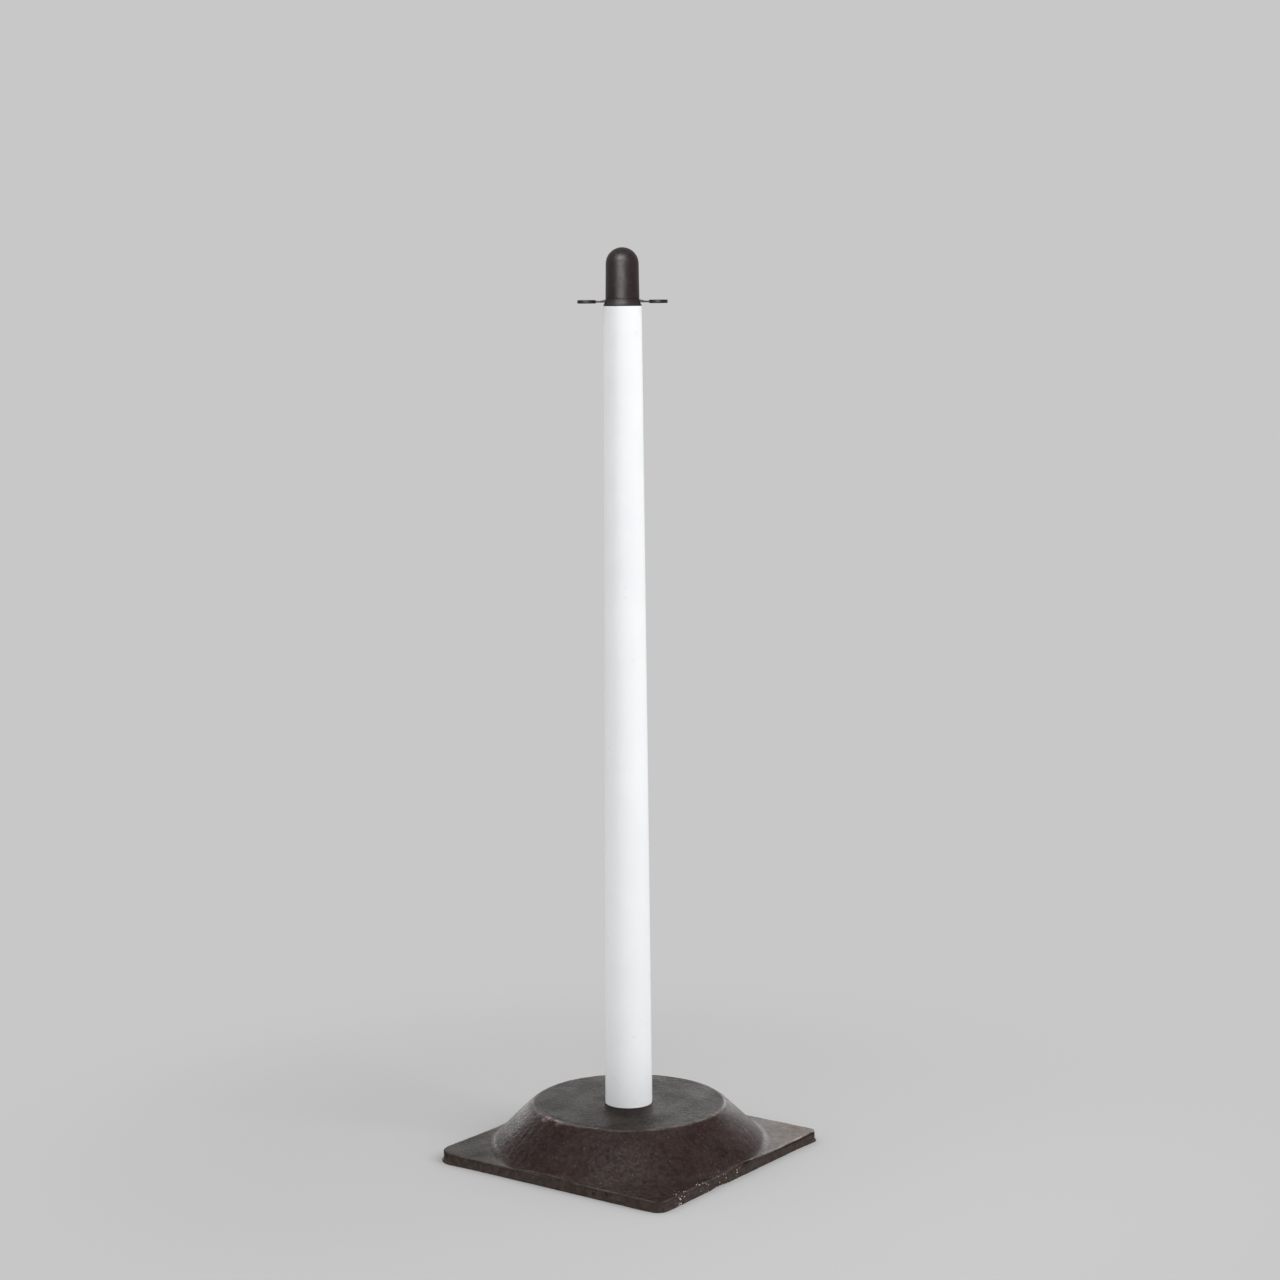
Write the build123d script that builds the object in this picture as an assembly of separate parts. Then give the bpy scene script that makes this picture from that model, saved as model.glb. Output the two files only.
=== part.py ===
from build123d import *
import os
from math import cos, pi, radians, sin, sqrt

# Chain barrier post: a white tapered plastic tube bolted to a square base of recycled
# rubber, with a black domed cap that pulls out of the tube's mouth and carries a
# swivelling collar with two chain eyelets.
# Millimetres. +Z is up, z = 0 is the ground, the origin is under the middle of the base
# and the base's sides lie along X and Y.

# Rubber base: thin square plate and round dome, moulded in one
PLATE_SIDE = 280.0
PLATE_T = 11.0
PLATE_CORNER_R = 15.0
PLATE_EDGE_R = 1.2
DOME_RISE = 41.0
DISC_EDGE_R = 98.5
DISC_LIP_R = 4.0
FOOT_OVERHANG = 2.0
FLANK_BULGE = 1.2
FOOT_FILLET_R = 9.0
FLOOR_T = 8.0
SOCKET_CLEARANCE = 0.1

# Tube: straight in its socket, then tapering evenly to its mouth
TUBE_LENGTH = 835.5
TUBE_FOOT_R = 24.0
TUBE_TOP_R = 19.0
TUBE_WALL = 2.5
TUBE_RIM_ROUND = 0.8

# Foot plug: closes the tube's lower end and holds the nut
PLUG_FLANGE_T = 3.0
PLUG_CLEARANCE = 0.1
PLUG_DEPTH = 22.0
PLUG_WALL = 2.5
PLUG_FLOOR_T = 3.0
PLUG_BOSS_WALL = 3.5
PLUG_RIB_T = 2.0
PLUG_RIB_COUNT = 4
NUT_SEAT_H = 9.0
NUT_POCKET_PLAY = 0.1

# Anchor hardware: one M10 set, from below
THREAD_R = 5.0
THREAD_CLEARANCE = 0.05
BOLT_HOLE_R = 5.5
BOLT_HEAD_AF = 16.0
BOLT_HEAD_H = 6.4
BOLT_PAST_NUT = 4.9
BOLT_TIP_CHAMFER = 1.0
NUT_AF = 16.0
NUT_H = 8.4
LOCK_WASHER_OUTER_R = 9.05
LOCK_WASHER_BORE_R = 5.1
LOCK_WASHER_T = 2.2
LOCK_WASHER_SPLIT = 2.0
LOCK_WASHER_SPLIT_LEAN = 25.0
PENNY_WASHER_OUTER_R = 15.0
PENNY_WASHER_BORE_R = 5.25
PENNY_WASHER_T = 2.5
HEAD_GROUND_GAP = 1.9
RECESS_MARGIN = 5.0

# Head cap: hollow bullet with a spigot, whose fins grip the tube's bore
CAP_HEIGHT = 50.5
CAP_CROWN_R = 16.3
CAP_BASE_R = 16.8
CAP_WALL = 2.2
CAP_EDGE_ROUND = 0.6
SPIGOT_R = 13.8
SPIGOT_DEPTH = 28.0
FIN_COUNT = 4
FIN_T = 1.4
FIN_PITCH = 7.0
FIN_DROP = 0.8
FIN_CLEARANCE = 0.1

# Eyelet collar: conical ring that turns on the spigot, between the cap and the tube's rim
COLLAR_H = 6.6
COLLAR_TOP_R = 16.8
COLLAR_PLAY_AXIAL = 0.2
COLLAR_PLAY_RADIAL = 0.1
COLLAR_RIM_H = 0.8
EYELET_REACH = 35.4
EYELET_OUTER_R = 9.2
EYELET_HOLE_R = 5.5
EYELET_T = 3.4
EYELET_LIFT = 2.5
EYELET_EDGE_ROUND = 0.7
EYELET_NECK_W = 8.0
EYELET_NECK_T = 2.2
GUSSET_REACH = 4.0
EYELET_TURN = 36.4

# Levels, worked out from the ground upwards
DOME_TOP_Z = PLATE_T + DOME_RISE
BOLT_SEAT_Z = HEAD_GROUND_GAP + BOLT_HEAD_H
PENNY_WASHER_Z = BOLT_SEAT_Z + LOCK_WASHER_T
RECESS_TOP_Z = PENNY_WASHER_Z + PENNY_WASHER_T
SOCKET_FLOOR_Z = RECESS_TOP_Z + FLOOR_T
TUBE_FOOT_Z = SOCKET_FLOOR_Z + PLUG_FLANGE_T
TUBE_TOP_Z = TUBE_FOOT_Z + TUBE_LENGTH
NUT_Z = SOCKET_FLOOR_Z + NUT_SEAT_H
BOLT_TIP_Z = NUT_Z + NUT_H + BOLT_PAST_NUT
COLLAR_Z = TUBE_TOP_Z + COLLAR_PLAY_AXIAL
CAP_SHOULDER_Z = COLLAR_Z + COLLAR_H + COLLAR_PLAY_AXIAL
CAP_TOP_Z = CAP_SHOULDER_Z + CAP_HEIGHT

# Radii that follow from a neighbour
DOME_FOOT_R = PLATE_SIDE / 2 + FOOT_OVERHANG
RECESS_R = PENNY_WASHER_OUTER_R + RECESS_MARGIN
TUBE_BORE_FOOT_R = TUBE_FOOT_R - TUBE_WALL
TUBE_BORE_TOP_R = TUBE_TOP_R - TUBE_WALL
FIN_R = TUBE_BORE_TOP_R - FIN_CLEARANCE
COLLAR_BORE_R = SPIGOT_R + COLLAR_PLAY_RADIAL


def turned(*outline):
    """A solid of revolution about Z, from its half section given as (radius, height)."""
    with BuildPart() as body:
        with BuildSketch(Plane.XZ):
            with BuildLine():
                Polyline(*outline, close=True)
            make_face()
        revolve(axis=Axis.Z)
    return body.part


def disc(radius, low, high):
    """A plain upright cylinder between two levels."""
    return turned((0, low), (radius, low), (radius, high), (0, high))


def ring(outer, bore, low, high):
    """A plain upright ring between two levels."""
    return turned((bore, low), (outer, low), (outer, high), (bore, high))


def hexagon(across_flats, low, high, bevel_low=False, bevel_high=False):
    """A hexagonal bar, with its corners bevelled at 30 degrees at either end."""
    flat_r = across_flats / 2
    corner_r = across_flats / sqrt(3)
    bevel = (corner_r - flat_r) / sqrt(3)
    low_r = flat_r if bevel_low else corner_r
    high_r = flat_r if bevel_high else corner_r
    with BuildPart() as bar:
        with BuildSketch(Plane.XY.offset(low)):
            RegularPolygon(flat_r, 6, major_radius=False)
        extrude(amount=high - low)
    turned_limits = turned(
        (0, low), (low_r, low), (corner_r, low + bevel),
        (corner_r, high - bevel), (high_r, high), (0, high),
    )
    return bar.part & turned_limits


def on_upper_edge(edge):
    """Whether an edge of the moulding runs round the plate's sides, above mid-thickness."""
    box = edge.bounding_box()
    reach = max(abs(value) for value in (box.min.X, box.max.X, box.min.Y, box.max.Y))
    level = box.min.Z > PLATE_T / 2 and box.max.Z < DOME_TOP_Z
    return level and reach > PLATE_SIDE / 2 - PLATE_EDGE_R / 2


def rubber_base():
    """Square plate with rounded corners under a domed mass with a flat top disc.

    The dome's foot is a little wider than the plate, so the plate's sides trim it.
    """
    past_corners = PLATE_SIDE
    with BuildPart() as moulding:
        with BuildSketch(Plane.XZ) as section:
            with BuildLine():
                Polyline(
                    (0, DOME_TOP_Z), (0, 0), (past_corners, 0),
                    (past_corners, PLATE_T), (DOME_FOOT_R, PLATE_T),
                )
                SagittaArc((DOME_FOOT_R, PLATE_T), (DISC_EDGE_R, DOME_TOP_Z), -FLANK_BULGE)
                Line((DISC_EDGE_R, DOME_TOP_Z), (0, DOME_TOP_Z))
            make_face()
            lip = section.vertices().sort_by_distance((DISC_EDGE_R, DOME_TOP_Z))[0]
            fillet(lip, DISC_LIP_R)
            foot = section.vertices().sort_by_distance((DOME_FOOT_R, PLATE_T))[0]
            fillet(foot, FOOT_FILLET_R)
        revolve(axis=Axis.Z)
        with BuildSketch():
            RectangleRounded(PLATE_SIDE, PLATE_SIDE, PLATE_CORNER_R)
        extrude(amount=DOME_TOP_Z, mode=Mode.INTERSECT)
    # Round the whole upper edge of the plate, also where it cuts the dome's foot
    upper_edge = [edge for edge in moulding.edges() if on_upper_edge(edge)]
    base = fillet(upper_edge, PLATE_EDGE_R)
    base -= disc(TUBE_FOOT_R + SOCKET_CLEARANCE, SOCKET_FLOOR_Z, DOME_TOP_Z)
    base -= disc(BOLT_HOLE_R, RECESS_TOP_Z, SOCKET_FLOOR_Z)
    base -= disc(RECESS_R, 0, RECESS_TOP_Z)
    return base


def post_tube():
    """White tube with one even wall, open at both ends, with a rounded rim."""
    with BuildPart() as tube:
        with BuildSketch(Plane.XZ) as wall:
            with BuildLine():
                Polyline(
                    (TUBE_FOOT_R, TUBE_FOOT_Z),
                    (TUBE_FOOT_R, DOME_TOP_Z),
                    (TUBE_TOP_R, TUBE_TOP_Z),
                    (TUBE_BORE_TOP_R, TUBE_TOP_Z),
                    (TUBE_BORE_FOOT_R, DOME_TOP_Z),
                    (TUBE_BORE_FOOT_R, TUBE_FOOT_Z),
                    close=True,
                )
            make_face()
            rim = wall.vertices().sort_by_distance((TUBE_TOP_R, TUBE_TOP_Z))[0]
            fillet(rim, TUBE_RIM_ROUND)
        revolve(axis=Axis.Z)
    return tube.part


def foot_plug():
    """Ribbed plug glued in the tube's lower end, with a hexagonal pocket for the nut."""
    outer_r = TUBE_BORE_FOOT_R - PLUG_CLEARANCE
    floor_z = TUBE_FOOT_Z + PLUG_FLOOR_T
    top_z = TUBE_FOOT_Z + PLUG_DEPTH
    boss_top_z = NUT_Z + NUT_H
    boss_r = NUT_AF / sqrt(3) + PLUG_BOSS_WALL
    plug = disc(TUBE_FOOT_R, SOCKET_FLOOR_Z, TUBE_FOOT_Z)
    plug += disc(outer_r, TUBE_FOOT_Z, floor_z)
    plug += ring(outer_r, outer_r - PLUG_WALL, floor_z, top_z)
    plug += disc(boss_r, floor_z, boss_top_z)
    # The ribs run from inside the boss to inside the outer wall
    rib_start = NUT_AF / sqrt(3)
    rib_end = outer_r - PLUG_WALL / 2
    for number in range(PLUG_RIB_COUNT):
        rib = Box(rib_end - rib_start, PLUG_RIB_T, boss_top_z - floor_z)
        rib = Pos((rib_start + rib_end) / 2, 0, (boss_top_z + floor_z) / 2) * rib
        plug += Rot(0, 0, 360 * number / PLUG_RIB_COUNT) * rib
    plug -= hexagon(NUT_AF + 2 * NUT_POCKET_PLAY, NUT_Z, boss_top_z)
    plug -= disc(BOLT_HOLE_R, SOCKET_FLOOR_Z, NUT_Z)
    return plug


def anchor_nut():
    """Hexagon nut, held from turning by the plug's pocket."""
    nut = hexagon(NUT_AF, NUT_Z, NUT_Z + NUT_H, bevel_low=True, bevel_high=True)
    return nut - disc(THREAD_R + THREAD_CLEARANCE, NUT_Z, NUT_Z + NUT_H)


def anchor_bolt():
    """Hexagon bolt that pulls the plug, and with it the tube, down on the base."""
    head = hexagon(BOLT_HEAD_AF, HEAD_GROUND_GAP, BOLT_SEAT_Z, bevel_low=True)
    shank = turned(
        (0, BOLT_SEAT_Z), (THREAD_R, BOLT_SEAT_Z), (THREAD_R, BOLT_TIP_Z - BOLT_TIP_CHAMFER),
        (THREAD_R - BOLT_TIP_CHAMFER, BOLT_TIP_Z), (0, BOLT_TIP_Z),
    )
    return head + shank


def lock_washer():
    """Split spring washer, tightened flat between the bolt's head and the wide washer."""
    washer = ring(LOCK_WASHER_OUTER_R, LOCK_WASHER_BORE_R, BOLT_SEAT_Z, PENNY_WASHER_Z)
    split = Box(LOCK_WASHER_OUTER_R * 2, LOCK_WASHER_SPLIT, LOCK_WASHER_T * 3)
    split = Rot(LOCK_WASHER_SPLIT_LEAN, 0, 0) * split
    middle_z = (BOLT_SEAT_Z + PENNY_WASHER_Z) / 2
    return washer - Pos(LOCK_WASHER_OUTER_R, 0, middle_z) * split


def penny_washer():
    """Wide washer that spreads the bolt's pull over the soft rubber."""
    return ring(PENNY_WASHER_OUTER_R, PENNY_WASHER_BORE_R, PENNY_WASHER_Z, RECESS_TOP_Z)


def head_cap():
    """Hollow bullet with a drafted side, and a thinner hollow spigot with grip fins."""
    crown_z = CAP_TOP_Z - CAP_CROWN_R
    hollow_r = CAP_CROWN_R - CAP_WALL
    spigot_end_z = TUBE_TOP_Z - SPIGOT_DEPTH
    spigot_bore_r = SPIGOT_R - CAP_WALL
    shoulder_top_z = CAP_SHOULDER_Z + CAP_WALL
    diagonal = cos(pi / 4)
    with BuildPart() as cap:
        with BuildSketch(Plane.XZ) as shell:
            with BuildLine():
                ThreePointArc(
                    (0, CAP_TOP_Z),
                    (CAP_CROWN_R * diagonal, crown_z + CAP_CROWN_R * diagonal),
                    (CAP_CROWN_R, crown_z),
                )
                Polyline(
                    (CAP_CROWN_R, crown_z),
                    (CAP_BASE_R, CAP_SHOULDER_Z),
                    (SPIGOT_R, CAP_SHOULDER_Z),
                    (SPIGOT_R, spigot_end_z),
                    (spigot_bore_r, spigot_end_z),
                    (spigot_bore_r, shoulder_top_z),
                    (CAP_BASE_R - CAP_WALL, shoulder_top_z + CAP_WALL),
                    (hollow_r, crown_z),
                )
                ThreePointArc(
                    (hollow_r, crown_z),
                    (hollow_r * diagonal, crown_z + hollow_r * diagonal),
                    (0, crown_z + hollow_r),
                )
                Line((0, crown_z + hollow_r), (0, CAP_TOP_Z))
            make_face()
            edge = shell.vertices().sort_by_distance((CAP_BASE_R, CAP_SHOULDER_Z))[0]
            fillet(edge, CAP_EDGE_ROUND)
        revolve(axis=Axis.Z)
    body = cap.part
    for number in range(FIN_COUNT):
        fin_top = TUBE_TOP_Z - FIN_DROP - number * FIN_PITCH
        body += ring(FIN_R, spigot_bore_r, fin_top - FIN_T, fin_top)
    return body


def eyelet():
    """One chain eyelet on +X: a flat ring on a thinner neck, with a gusset to the collar."""
    low_z = COLLAR_Z + EYELET_LIFT
    middle_z = low_z + EYELET_T / 2
    neck_top_z = middle_z + EYELET_NECK_T / 2
    root_r = (COLLAR_BORE_R + COLLAR_TOP_R) / 2
    with BuildPart() as loop:
        with BuildSketch(Plane.XY.offset(low_z)):
            with Locations((EYELET_REACH, 0)):
                Circle(EYELET_OUTER_R)
        extrude(amount=EYELET_T)
        fillet(loop.edges(), EYELET_EDGE_ROUND)
    neck_length = EYELET_REACH - EYELET_HOLE_R - root_r
    neck = Pos(root_r + neck_length / 2, 0, middle_z) * Box(
        neck_length, EYELET_NECK_W, EYELET_NECK_T
    )
    with BuildPart() as gusset:
        with BuildSketch(Plane.XZ):
            with BuildLine():
                Polyline(
                    (root_r, neck_top_z), (TUBE_TOP_R + GUSSET_REACH, neck_top_z),
                    (root_r, COLLAR_Z + COLLAR_H), close=True,
                )
            make_face()
        extrude(amount=EYELET_NECK_W / 2, both=True)
    hole = Pos(EYELET_REACH, 0, 0) * disc(EYELET_HOLE_R, COLLAR_Z, COLLAR_Z + COLLAR_H)
    return loop.part + neck + gusset.part - hole


def eyelet_collar():
    """Conical ring as wide as the cap above and the tube below, with two eyelets."""
    collar_top_z = COLLAR_Z + COLLAR_H
    collar = turned(
        (0, COLLAR_Z), (TUBE_TOP_R, COLLAR_Z), (TUBE_TOP_R, COLLAR_Z + COLLAR_RIM_H),
        (COLLAR_TOP_R, collar_top_z), (0, collar_top_z),
    )
    collar += eyelet()
    collar += Rot(0, 0, 180) * eyelet()
    collar -= disc(COLLAR_BORE_R, COLLAR_Z, collar_top_z)
    return Rot(0, 0, EYELET_TURN) * collar


PIECES = {
    "rubber_base": rubber_base,
    "post_tube": post_tube,
    "foot_plug": foot_plug,
    "anchor_nut": anchor_nut,
    "anchor_bolt": anchor_bolt,
    "lock_washer": lock_washer,
    "penny_washer": penny_washer,
    "head_cap": head_cap,
    "eyelet_collar": eyelet_collar,
}

os.makedirs("parts", exist_ok=True)
for name, make in PIECES.items():
    export_step(make(), f"parts/{name}.step")

eyelet_x = EYELET_REACH * cos(radians(EYELET_TURN))
eyelet_y = EYELET_REACH * sin(radians(EYELET_TURN))
eyelet_z = COLLAR_Z + EYELET_LIFT
print(f"total height {CAP_TOP_Z:.2f}, bolt under the head {BOLT_TIP_Z - BOLT_SEAT_Z:.2f}")
print(f"eyelet hole at {eyelet_x:.3f}, {eyelet_y:.3f}, from z {eyelet_z:.2f}")
print(f"collar from z {COLLAR_Z:.2f} to {COLLAR_Z + COLLAR_H:.2f}")
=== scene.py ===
from math import cos, exp, hypot, pi, radians, sin, sqrt, tan

import bmesh
import bpy
from mathutils import Matrix, Vector, noise


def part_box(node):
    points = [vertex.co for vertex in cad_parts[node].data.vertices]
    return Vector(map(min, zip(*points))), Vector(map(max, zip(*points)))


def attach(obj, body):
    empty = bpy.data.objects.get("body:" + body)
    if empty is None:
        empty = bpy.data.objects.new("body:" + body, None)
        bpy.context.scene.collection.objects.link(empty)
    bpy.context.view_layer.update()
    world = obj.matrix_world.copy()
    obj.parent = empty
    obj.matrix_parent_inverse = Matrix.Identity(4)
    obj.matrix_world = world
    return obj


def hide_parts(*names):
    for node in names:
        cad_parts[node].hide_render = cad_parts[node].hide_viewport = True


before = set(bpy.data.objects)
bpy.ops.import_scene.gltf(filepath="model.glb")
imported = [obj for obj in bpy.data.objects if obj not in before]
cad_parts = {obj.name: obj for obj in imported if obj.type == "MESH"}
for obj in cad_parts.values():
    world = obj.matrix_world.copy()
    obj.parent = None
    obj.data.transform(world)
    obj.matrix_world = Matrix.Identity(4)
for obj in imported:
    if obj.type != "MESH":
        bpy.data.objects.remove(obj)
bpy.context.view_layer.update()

# Rubber base: one block of recycled tyre granulate, pressed in a mould. A thin square
# plate carries a round dome with a flat top, whose foot the plate's sides trim. The tube
# stands in a socket in the middle, and the bolt sits in a recess underneath.
MM = 0.001
plate_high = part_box("rubber_base")[1]
PLATE_HALF = plate_high.x
DOME_TOP = plate_high.z
PLATE_TOP = 11 * MM
# Where the plate's side starts, where all of it is side, and how far in it counts as side
SIDE_TOP = PLATE_TOP - 0.4 * MM
SIDE_FULL = PLATE_TOP - 1.2 * MM
SIDE_DEPTH = 1.0 * MM
DISC_EDGE_R = 98.5 * MM
DISC_LINE_R = 91.5 * MM
DISC_LINE_DEPTH = 0.18 * MM
DISC_LINE_HALF_W = 0.6 * MM
FLANK_BULGE = 0.5 * MM
FOOT_R = PLATE_HALF + 0.5 * MM
LIP_BLEND = 2.0 * MM
FOOT_BLEND = 5.0 * MM
SOCKET_R = 24.1 * MM
SOCKET_FLOOR = 21 * MM
SOCKET_MOUTH_ROUND = 0.7 * MM
# Halfway round the socket's mouth: how far out from the wall, and how far up
SOCKET_MOUTH_OUT = 0.2 * MM
SOCKET_MOUTH_UP = 0.5 * MM
SOCKET_SURROUND_R = SOCKET_R + 2 * MM
RECESS_R = 20 * MM
RECESS_TOP = 13 * MM
RECESS_MOUTH_ROUND = 0.5 * MM
BOLT_HOLE_R = 5.5 * MM
BASE_TURNS = 480
# How far apart the outline's points lie: on the flats, at the lip, on the flank, at its foot
FLAT_STEP = 2.4 * MM
LIP_STEP = 0.75 * MM
FLANK_STEP = 1.8 * MM
FOOT_STEP = 1.0 * MM
LIP_END_R = DISC_EDGE_R + 4 * MM
FOOT_START_R = FOOT_R - 6 * MM
FOOT_END_R = FOOT_R + 8 * MM
# Corner radius of the plate at each corner, by the signs of x and y
CORNERS = {(-1, -1): 19 * MM, (1, -1): 12 * MM, (1, 1): 9 * MM, (-1, 1): 14 * MM}
CORNER_CUT_STEP = 6
# The plate's upper edge is rounded from EDGE_START in, over rows that are given by how far
# in from the side and how far down they lie, in mm
EDGE_START = 1.15 * MM
EDGE_ROWS = ((0.55, 0.12), (0.15, 0.5), (0.0, 1.2))
# Levels of the straight part of the side, down to the ground, in mm
SIDE_LEVELS = (9.0, 7.8, 6.6, 5.4, 4.2, 3.2, 2.4, 1.7, 1.0, 0.4, 0.0)


def select_only(piece):
    """Make one object the only selected and the active one."""
    bpy.ops.object.select_all(action="DESELECT")
    piece.select_set(True)
    bpy.context.view_layer.objects.active = piece


def select_where(test):
    """In edit mode, select the vertices that pass the test, and nothing else."""
    mesh = bmesh.from_edit_mesh(bpy.context.object.data)
    bpy.ops.mesh.select_all(action="DESELECT")
    for vertex in mesh.verts:
        if test(vertex):
            vertex.select = True
    mesh.select_flush_mode()
    bmesh.update_edit_mesh(bpy.context.object.data)


def turned(name, outline, steps, closed=False):
    """Spin an outline of (radius, height) points about Z, drawn point by point."""
    bpy.ops.object.select_all(action="DESELECT")
    bpy.ops.mesh.primitive_plane_add(size=MM)
    piece = bpy.context.object
    piece.name = name
    bpy.ops.object.mode_set(mode="EDIT")
    bpy.ops.mesh.select_mode(type="VERT")
    bpy.ops.mesh.merge(type="CENTER")
    bpy.ops.transform.translate(value=(outline[0][0], 0, outline[0][1]))
    points = list(outline) + ([outline[0]] if closed else [])
    for (radius, height), (next_radius, next_height) in zip(points, points[1:]):
        step = (next_radius - radius, 0, next_height - height)
        bpy.ops.mesh.extrude_region_move(TRANSFORM_OT_translate={"value": step})
    bpy.ops.mesh.select_all(action="SELECT")
    bpy.ops.mesh.spin(steps=steps, angle=2 * pi, center=(0, 0, 0), axis=(0, 0, 1))
    bpy.ops.mesh.select_all(action="SELECT")
    bpy.ops.mesh.remove_doubles(threshold=MM / 200)
    bpy.ops.mesh.normals_make_consistent(inside=False)
    bpy.ops.object.mode_set(mode="OBJECT")
    return piece


def evenly(start, end, step):
    """Values from start up to, but not including, end, about a step apart."""
    count = max(1, round(abs(end - start) / step))
    return [start + (end - start) * number / count for number in range(count)]


def softly_lower(first, second, width):
    """The lower of two heights, with the crossing rounded over a width."""
    near = max(width - abs(first - second), 0) / width
    return min(first, second) - near * near * width / 4


def dome_height(radius):
    """Height of the moulding's upper side at a distance from the axis."""
    run = FOOT_R - DISC_EDGE_R
    fall = DOME_TOP - PLATE_TOP
    chord = hypot(run, fall)
    flank_r = (chord * chord / 4 + FLANK_BULGE ** 2) / (2 * FLANK_BULGE)
    away = flank_r - FLANK_BULGE
    centre_r = (DISC_EDGE_R + FOOT_R) / 2 - away * fall / chord
    centre_z = (DOME_TOP + PLATE_TOP) / 2 - away * run / chord
    inside = max(flank_r ** 2 - (radius - centre_r) ** 2, 0)
    flank = centre_z + sqrt(inside)
    height = softly_lower(DOME_TOP, flank, LIP_BLEND)
    return -softly_lower(-height, -PLATE_TOP, FOOT_BLEND)


def base_outline():
    """From the recess underneath, through the socket and over the dome to past the corners."""
    mouth = DOME_TOP - SOCKET_MOUTH_ROUND
    points = [
        (RECESS_R + RECESS_MOUTH_ROUND, 0), (RECESS_R, RECESS_MOUTH_ROUND), (RECESS_R, RECESS_TOP),
        (BOLT_HOLE_R, RECESS_TOP), (BOLT_HOLE_R, SOCKET_FLOOR),
        (SOCKET_R, SOCKET_FLOOR), (SOCKET_R, mouth),
        (SOCKET_R + SOCKET_MOUTH_OUT, mouth + SOCKET_MOUTH_UP),
        (SOCKET_R + SOCKET_MOUTH_ROUND, DOME_TOP),
    ]
    rows = evenly(SOCKET_SURROUND_R, DISC_LINE_R - DISC_LINE_HALF_W, FLAT_STEP)
    rows += [DISC_LINE_R - DISC_LINE_HALF_W, DISC_LINE_R, DISC_LINE_R + DISC_LINE_HALF_W]
    rows += evenly(DISC_LINE_R + 2 * DISC_LINE_HALF_W, LIP_END_R, LIP_STEP)
    rows += evenly(LIP_END_R, FOOT_START_R, FLANK_STEP)
    rows += evenly(FOOT_START_R, FOOT_END_R, FOOT_STEP)
    rows += evenly(FOOT_END_R, PLATE_HALF * sqrt(2) + MM, FLAT_STEP)
    for radius in rows:
        sunk = DISC_LINE_DEPTH if radius == DISC_LINE_R else 0
        points.append((radius, dome_height(radius) - sunk))
    return points


base = turned("rubber_base_moulding", base_outline(), BASE_TURNS)
select_only(base)
bpy.ops.object.mode_set(mode="EDIT")


def trim(place, direction):
    """Cut off all that lies beyond a plane."""
    bpy.ops.mesh.select_all(action="SELECT")
    bpy.ops.mesh.bisect(
        plane_co=place, plane_no=direction, clear_outer=True, threshold=MM / 1000
    )


cut_half = PLATE_HALF - EDGE_START
for turn in range(4):
    side = Vector((cos(turn * pi / 2), sin(turn * pi / 2), 0))
    trim(side * cut_half, side)
for (sign_x, sign_y), corner_r in CORNERS.items():
    reach = cut_half - corner_r
    for degrees_round in range(CORNER_CUT_STEP, 90, CORNER_CUT_STEP):
        turn = radians(degrees_round)
        side = Vector((sign_x * cos(turn), sign_y * sin(turn), 0))
        trim(Vector((sign_x * reach, sign_y * reach, 0)) + side * corner_r, side)


def on_open_rim(vertex):
    """Whether a vertex lies on the open outer rim of the plate."""
    return vertex.is_boundary and hypot(vertex.co.x, vertex.co.y) > FOOT_R / 2


select_where(on_open_rim)
half_now = cut_half
dropped = 0
for row_inset, drop in EDGE_ROWS:
    grow = (PLATE_HALF - row_inset * MM) / half_now
    half_now = PLATE_HALF - row_inset * MM
    bpy.ops.mesh.extrude_region_move(TRANSFORM_OT_translate={"value": (0, 0, 0)})
    bpy.ops.transform.resize(value=(grow, grow, 1), center_override=(0, 0, 0))
    bpy.ops.transform.translate(value=(0, 0, (dropped - drop) * MM))
    dropped = drop
for level in SIDE_LEVELS:
    bpy.ops.mesh.extrude_region_move(TRANSFORM_OT_translate={"value": (0, 0, 0)})
    bpy.ops.transform.resize(value=(1, 1, 0), center_override=(0, 0, level * MM))
select_where(lambda vertex: vertex.is_boundary)
bpy.ops.mesh.bridge_edge_loops()

# The side that faces right of the front corner is chipped, and needs a finer mesh there
CHIPPED_FROM = -108 * MM
CHIPPED_TO = 12 * MM
CHIPPED_SIDE_X = PLATE_HALF - 1.5 * MM
select_where(
    lambda vertex: vertex.co.x > CHIPPED_SIDE_X and CHIPPED_FROM < vertex.co.y < CHIPPED_TO
)
bpy.ops.mesh.subdivide(number_cuts=1)
bpy.ops.mesh.select_all(action="SELECT")
bpy.ops.mesh.normals_make_consistent(inside=False)
bpy.ops.object.mode_set(mode="OBJECT")

# Chips along that side: place along it, level, half length, half height and depth, in mm
CHIPS = (
    (-98, 6.0, 6.0, 3.0, 1.3), (-90, 3.0, 4.0, 2.2, 1.0), (-66, 7.5, 7.0, 1.8, 0.8),
    (-50, 5.5, 5.0, 3.0, 1.4), (-42, 0.8, 9.0, 3.6, 3.6), (-17, 6.0, 4.5, 3.0, 1.4),
    (0, 7.0, 5.0, 2.6, 1.1),
)
RAGGED_SIZE = 2.3 * MM
RAGGED_SHARE = 0.75
# The thin film pressed out of the mould: its reach, its top, and its spread at two corners
FLASH_REACH = 2.0 * MM
FLASH_TOP = 2.4 * MM
FLASH_FADE = 1.3 * MM
LEFT_FLASH_SPREAD = 34 * MM
RIGHT_FLASH_SPREAD = 26 * MM
RIGHT_FLASH = 0.8
STRAY_FLASH = 0.22
STRAY_FLASH_SIZE = 17 * MM
STRAY_FLASH_FROM = 0.05
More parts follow.
